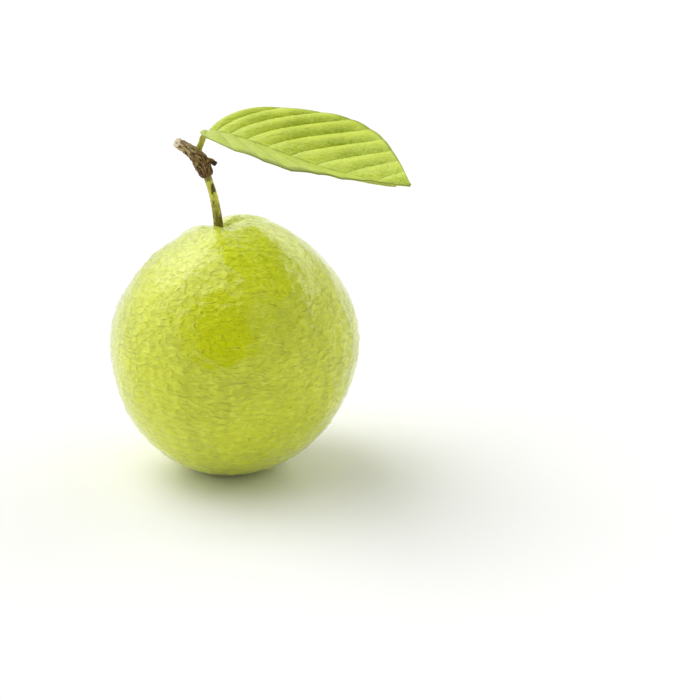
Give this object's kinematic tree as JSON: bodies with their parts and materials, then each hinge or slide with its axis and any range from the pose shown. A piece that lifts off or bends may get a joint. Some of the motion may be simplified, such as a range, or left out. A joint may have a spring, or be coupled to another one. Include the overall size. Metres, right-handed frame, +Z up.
{
  "type": "guava",
  "caption": "Whole ripe-green guava with its dried calyx, fruit stalk, a stub of woody twig and one veined leaf, standing on a small flat spot.",
  "frame": {"origin": "middle of the small flat spot that the fruit rests on", "axes": "+Z up; +Y the way the picture looks, away from its camera; +X to its right, the side to which the leaf points"},
  "size_m": [0.1133, 0.0976, 0.1411],
  "materials": {
    "skin": "waxy yellow-green fruit skin with a soft sheen",
    "dried_sepals": "dry and brown",
    "green_stalk": "olive green with brown flecks",
    "bark": "rough grey-brown bark",
    "leaf_blade": "light green leaf, satin above"
  },
  "bodies": {
    "root": {"fruit": "skin", "calyx": "dried_sepals", "fruit_stalk": "green_stalk", "twig": "bark", "leaf": "leaf_blade"}
  },
  "joints": []
}
